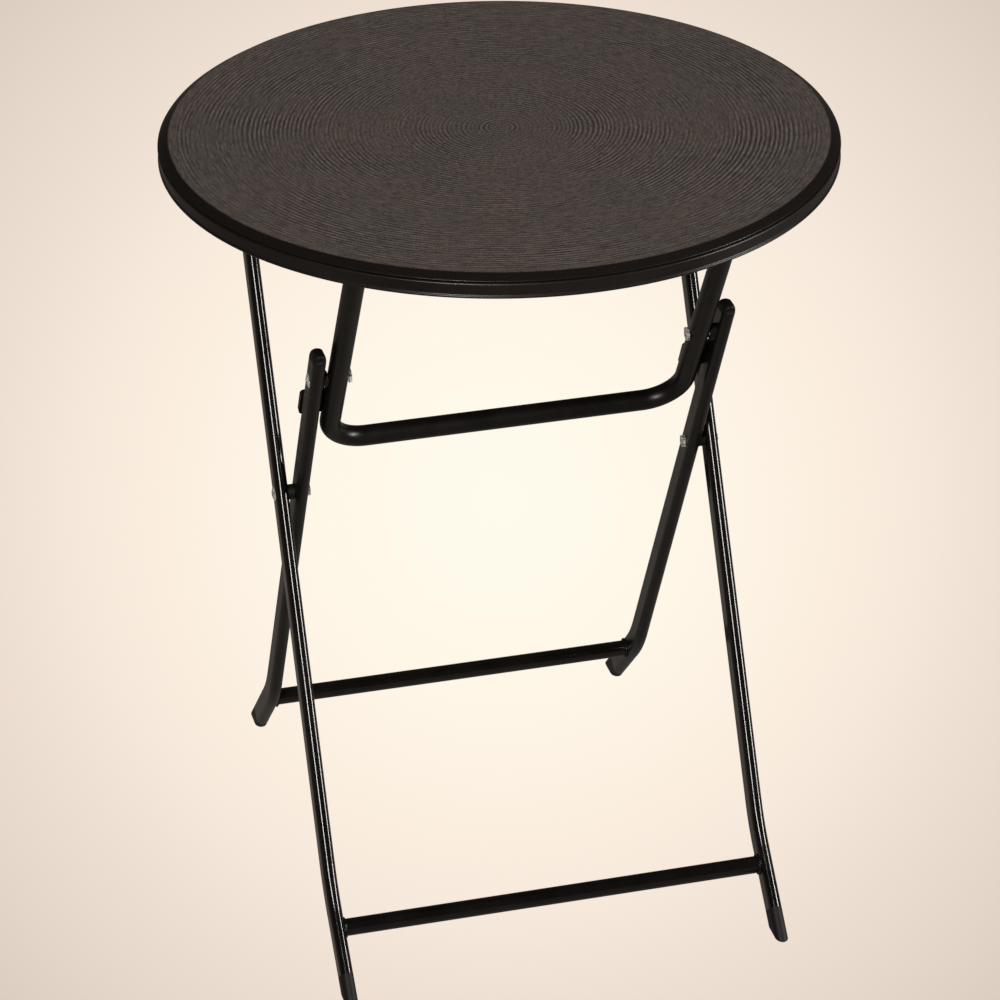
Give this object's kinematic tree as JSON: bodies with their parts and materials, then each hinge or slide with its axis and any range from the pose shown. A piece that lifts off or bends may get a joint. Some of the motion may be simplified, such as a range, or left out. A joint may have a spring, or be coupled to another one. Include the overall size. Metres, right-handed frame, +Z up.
{
  "type": "folding table",
  "caption": "Round folding side table with a moulded ribbed top, crossed flat-oval steel leg frames, low crossbars and a U-shaped brace under the top.",
  "frame": {"origin": "on the floor under the centre of the round top", "axes": "+Z up, +Y to the rear, +X to the right of someone facing the rear"},
  "size_m": [0.5999, 0.6, 0.74],
  "materials": {
    "moulded_top": "matt charcoal-brown resin with a fine ringed texture",
    "black_steel": "satin black powder coat",
    "black_plastic": "matt black end cap plastic",
    "zinc_hardware": "bright zinc plate"
  },
  "bodies": {
    "outer_legs": {"left_outer_leg": "black_steel", "right_outer_leg": "black_steel", "outer_crossbar": "black_steel", "left_outer_foot_cap": "black_plastic", "right_outer_foot_cap": "black_plastic", "left_outer_end_plug": "black_plastic", "right_outer_end_plug": "black_plastic", "left_rear_hinge_bolt": "zinc_hardware", "right_rear_hinge_bolt": "zinc_hardware", "left_crossing_bolt": "zinc_hardware", "right_crossing_bolt": "zinc_hardware", "left_crossing_spacer": "black_plastic", "right_crossing_spacer": "black_plastic", "left_crossing_nut": "zinc_hardware", "right_crossing_nut": "zinc_hardware"},
    "inner_legs": {"left_inner_leg": "black_steel", "right_inner_leg": "black_steel", "inner_crossbar": "black_steel", "left_inner_foot_cap": "black_plastic", "right_inner_foot_cap": "black_plastic", "left_inner_end_cap": "black_plastic", "right_inner_end_cap": "black_plastic", "left_brace_bolt": "zinc_hardware", "right_brace_bolt": "zinc_hardware", "left_brace_spacer": "black_plastic", "right_brace_spacer": "black_plastic", "left_brace_nut": "zinc_hardware", "right_brace_nut": "zinc_hardware"},
    "brace": {"u_brace": "black_steel", "left_stop_plate": "black_steel", "right_stop_plate": "black_steel", "left_brace_end_plug": "black_plastic", "right_brace_end_plug": "black_plastic"},
    "tabletop": {"top_panel": "moulded_top", "under_shell": "moulded_top", "left_rear_bracket": "black_steel", "right_rear_bracket": "black_steel", "left_front_bracket": "black_steel", "right_front_bracket": "black_steel", "left_rear_hinge_stud": "zinc_hardware", "right_rear_hinge_stud": "zinc_hardware", "left_front_hinge_pin": "zinc_hardware", "right_front_hinge_pin": "zinc_hardware", "bracket_screws": "zinc_hardware"}
  },
  "joints": [
    {"name": "legs_fold", "type": "hinge", "parent": "outer_legs", "child": "inner_legs", "pos_m": [0, 0.013, 0.395], "axis": [-1, 0, 0], "range_deg": [0, 55.8]},
    {"name": "brace_fold", "type": "hinge", "parent": "inner_legs", "child": "brace", "pos_m": [0, -0.06889, 0.54966], "axis": [1, 0, 0], "range_deg": [0, 176.88]},
    {"name": "top_fold", "type": "hinge", "parent": "brace", "child": "tabletop", "pos_m": [0, -0.15346, 0.69], "axis": [-1, 0, 0], "range_deg": [0, 58.98]}
  ],
  "couplings": [
    {"joint": "brace_fold", "follows": "legs_fold", "ratio": 3.1689},
    {"joint": "top_fold", "follows": "legs_fold", "ratio": 1.056}
  ]
}
